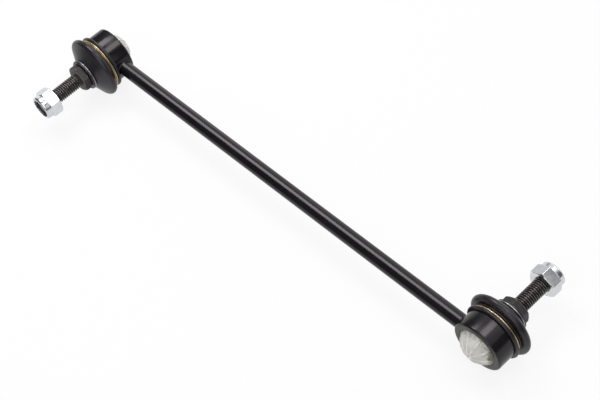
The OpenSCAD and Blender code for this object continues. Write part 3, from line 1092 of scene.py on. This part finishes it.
def nut_mesh():
    """The lock nut: hex with turned corners, a collar rolled over its locking ring, and a recess for it."""
    roll = (NUT_COLLAR_R - NUT_ROLL, NUT_END - NUT_ROLL)
    lip = (NUT_MOUTH_R, NUT_LIP_Z)
    profile = [(NUT_ROOT, NUT_Z + NUT_SINK[1]), (NUT_ROOT + NUT_SINK[0], NUT_Z)]
    profile += hex_end(NUT_FLAT, NUT_TURNED_R, NUT_Z, 1)
    profile += hex_end(NUT_FLAT, NUT_TURNED_R, NUT_HEX_END, -1)[::-1]
    profile += [(NUT_COLLAR_R, NUT_HEX_END)]
    profile += arc(roll, NUT_ROLL, 0, 90, steps=12)
    profile += rounded((roll[0], NUT_END), (NUT_MOUTH_R, NUT_END), lip, NUT_MOUTH_EDGE)
    profile += [lip, (NUT_RECESS_R, NUT_LIP_Z)]
    profile += [(NUT_RECESS_R, NUT_RECESS_Z), (NUT_ROOT, NUT_RECESS_Z)]
    return turned("nut", profile, hex_angles())


def nut_thread_mesh():
    """The nut's thread, grooved outwards from its bore, as a sleeve inside the nut."""
    bm = thread_sheet("nut_thread", NUT_CREST, NUT_ROOT, NUT_THREAD_Z, NUT_THREAD_LEAD, "bright_zinc")
    outside = []
    for height in NUT_THREAD_Z:
        rim = {v for e in bm.edges if e.is_boundary for v in e.verts if abs(v.co.z - height) < SLEEVE_RIM}
        rim = sorted(rim, key=lambda v: math.atan2(v.co.y, v.co.x))
        ring = []
        for vert in rim:
            out = vert.co.copy()
            out.xy = out.xy.normalized() * NUT_SLEEVE_R
            ring.append(bm.verts.new(out))
        bridge(bm, rim, ring)
        outside.append(ring)
    bridge(bm, *outside)
    return finished("nut_thread", bm)


def insert_mesh():
    """The nylon locking ring in the nut's collar."""
    low, high = INSERT_Z
    corners = [(NUT_CREST, low), (INSERT_R, low), (INSERT_R, high), (NUT_CREST, high)]
    profile = []
    for k in range(4):
        profile += rounded(corners[k - 1], corners[k], corners[(k + 1) % 4], INSERT_EDGE)
    return turned("insert", profile)


def ring_mesh(name, sizes, height, finish):
    """A spring ring from its tree, lifted to its groove."""
    bm = grown(name, ring_tree, sizes, finish)
    bmesh.ops.translate(bm, verts=bm.verts, vec=(0, 0, height))
    return finished(name, bm)


def shown(name, mesh, finish, place):
    """Object of a mesh, at the origin, with its place in the mesh."""
    own = mesh.copy()
    own.name = name
    own.transform(place)
    own.materials.clear()
    own.materials.append(FINISHES[finish])
    return added(name, own)


def fitted(piece, body, node):
    """Rides a piece on its body, in place of its CAD node."""
    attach(piece, body)
    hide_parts(node)


thread_tree = screw_thread_tree()
ring_tree = spring_ring_tree()

housing = housing_mesh()
seat = seat_mesh()
boot = boot_mesh()
stud = joined("stud", [stud_mesh(), stud_thread_mesh()])
nut = joined("nut", [nut_mesh(), nut_thread_mesh()])
insert = insert_mesh()
boot_ring = ring_mesh("boot_ring", BOOT_RING, BOOT_RING_Z, "yellow_zinc")
neck_ring = ring_mesh("neck_ring", NECK_RING, NECK_RING_Z, "spring_steel")

# Name, mesh, finish, body, record slot and CAD node of the pieces at each end
JOINT_PIECES = (
    ("housing", housing, "black_paint", "link", "black_paint", "socket_housing"),
    ("seat", seat, "natural_acetal", "link", "natural_acetal", "ball_seat"),
    ("boot_spring", boot_ring, "yellow_zinc", "{side}_boot", "yellow_zinc", "boot_ring"),
    ("neck_spring", neck_ring, "spring_steel", "{side}_neck", "plain_steel", "neck_ring"),
    ("stud_piece", stud, "dark_phosphate", "{side}_stud", "dark_phosphate", "ball_stud"),
    ("nut_piece", nut, "bright_zinc", "{side}_nut", "bright_zinc", "lock_nut"),
    ("insert", insert, "dark_nylon", "{side}_nut", "dark_nylon", "nut_insert"),
)

fitted(shown("bar", rod_mesh(), "black_paint", Matrix.Scale(MM, 4)), "link", "link_rod")
for side in SIDES:
    for name, mesh, finish, body, slot, node in JOINT_PIECES:
        piece = shown(f"{side}_{name}", mesh, finish, PLACES[side])
        fitted(piece, body.format(side=side), f"{side}_{node}")
    skin = shown(f"{side}_boot_skin", boot, "boot_rubber", PLACES[side])
    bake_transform(skin)
    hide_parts(f"{side}_dust_boot")
    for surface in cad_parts[f"{side}_closing_ring"].material_slots:
        surface.material = FINISHES["plain_steel"]


# Stage, light and camera

def floor():
    """A wide white floor that keeps a soft shadow."""
    mesh = bpy.data.meshes.new("floor")
    bm = bmesh.new()
    bmesh.ops.create_grid(bm, x_segments=1, y_segments=1, size=FLOOR_HALF)
    bmesh.ops.translate(bm, verts=bm.verts, vec=(0, 0, cad_box[0][2] - FLOOR_GAP))
    bm.to_mesh(mesh)
    bm.free()
    material = bpy.data.materials.new("white_floor")
    material.use_nodes = True
    tree = material.node_tree
    tree.nodes.clear()
    ray = put(tree, "ShaderNodeLightPath").outputs
    mirrored = sum_up(tree, "MAXIMUM", ray["Is Glossy Ray"], ray["Is Transmission Ray"])
    seen = sum_up(tree, "MAXIMUM", ray["Is Camera Ray"], mirrored)
    card = put(tree, "ShaderNodeBsdfDiffuse", {"Color": FLOOR_COLOUR})
    across = split(tree, put(tree, "ShaderNodeTexCoord").outputs["Object"])
    # Reflections see the floor glow less towards the front: painted shade on the floor before the part
    fading = fade(tree, across["Y"], FLOOR_FADE, FLOOR_MIRRORED)
    level = sum_up(tree, "MAXIMUM", ray["Is Camera Ray"], fading)
    glow = put(tree, "ShaderNodeEmission", {"Color": WHITE, "Strength": level})
    share = sum_up(tree, "MULTIPLY", seen, FLOOR_GLOW)
    blend = put(tree, "ShaderNodeMixShader", {0: share, 1: card.outputs[0], 2: glow.outputs[0]})
    out = put(tree, "ShaderNodeOutputMaterial", {"Surface": blend.outputs[0]})
    out.is_active_output = True
    mesh.materials.append(material)
    added("floor", mesh)


def room():
    """A dim room with a white paper backdrop behind the part."""
    world = bpy.data.worlds.new("room")
    world.use_nodes = True
    tree = world.node_tree
    way = split(tree, put(tree, "ShaderNodeTexCoord").outputs["Generated"])
    behind = fade(tree, way["Y"], BACKDROP_START)
    left_edge = fade(tree, way["X"], BACKDROP_LEFT)
    right_edge = fade(tree, way["X"], BACKDROP_RIGHT)
    paper = sum_up(tree, "MULTIPLY", behind, sum_up(tree, "MULTIPLY", left_edge, right_edge))
    level = sum_up(tree, "MULTIPLY_ADD", paper, ROOM_BACKDROP - ROOM_DIM, ROOM_DIM)
    glow = tree.nodes["Background"]
    feed(tree, glow.inputs["Color"], WHITE)
    feed(tree, glow.inputs["Strength"], level)
    bpy.context.scene.world = world


def softbox(name, at, size, power, aim=None):
    """A soft light, level or turned towards a point."""
    data = bpy.data.lights.new(name, "AREA")
    data.shape = "RECTANGLE"
    data.size = size[0]
    data.size_y = size[1]
    data.energy = power
    lamp = added(name, data)
    lamp.location = at
    if aim:
        lamp.rotation_euler = (Vector(aim) - Vector(at)).to_track_quat("-Z", "Y").to_euler()
    return lamp


def camera():
    """The camera that was fitted to the photograph."""
    data = bpy.data.cameras.new("camera")
    data.sensor_fit = "HORIZONTAL"
    data.sensor_width = FILM_WIDTH
    data.lens = CAMERA_LENS
    data.clip_start = CAMERA_NEAR
    eye = added("camera", data)
    eye.location = CAMERA_AT
    look = (CAMERA_AIM - CAMERA_AT).to_track_quat("-Z", "Y")
    eye.rotation_euler = (look @ Quaternion((0, 0, 1), CAMERA_ROLL)).to_euler()
    bpy.context.scene.camera = eye


floor()
room()
for lamp in SOFTBOXES:
    softbox(*lamp)
softbox(*FRONT_FILL, aim=MIDDLE)
# Small weak cards for the plated nuts to mirror, which the camera doesn't see
for card in NUT_CARDS:
    softbox(*card).visible_camera = False
camera()
bpy.context.scene.view_settings.view_transform = "Standard"
